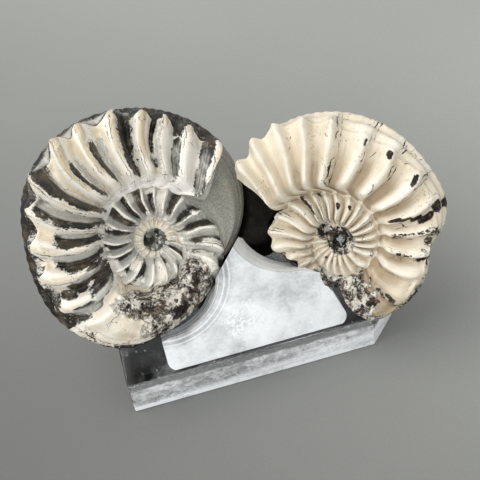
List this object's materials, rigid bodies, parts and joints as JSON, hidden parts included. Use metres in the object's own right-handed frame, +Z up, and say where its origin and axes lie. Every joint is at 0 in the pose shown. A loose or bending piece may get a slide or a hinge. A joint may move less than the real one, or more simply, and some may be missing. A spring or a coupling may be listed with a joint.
{
  "type": "fossil ammonite specimen on stand",
  "caption": "Ribbed Pleuroceras ammonites joined by dark rock, resting in the scoops of a clear acrylic display stand.",
  "frame": {"origin": "centre of the base's underside, where it rests on the table", "axes": "+X along the base's front edge to the right, +Y away from the viewer, +Z up"},
  "size_m": [0.0944, 0.0476, 0.0633],
  "materials": {
    "dark_mould_and_shell": "dark mould with cream shell left on it",
    "cream_shell": "matte to satin cream shell",
    "dark_rock": "rough, matte",
    "clear_acrylic": "clear, polished"
  },
  "bodies": {
    "root": {"left_ammonite": "dark_mould_and_shell", "right_ammonite": "cream_shell", "matrix_rock": "dark_rock", "stand_base": "clear_acrylic", "stand_upright": "clear_acrylic"}
  },
  "joints": []
}
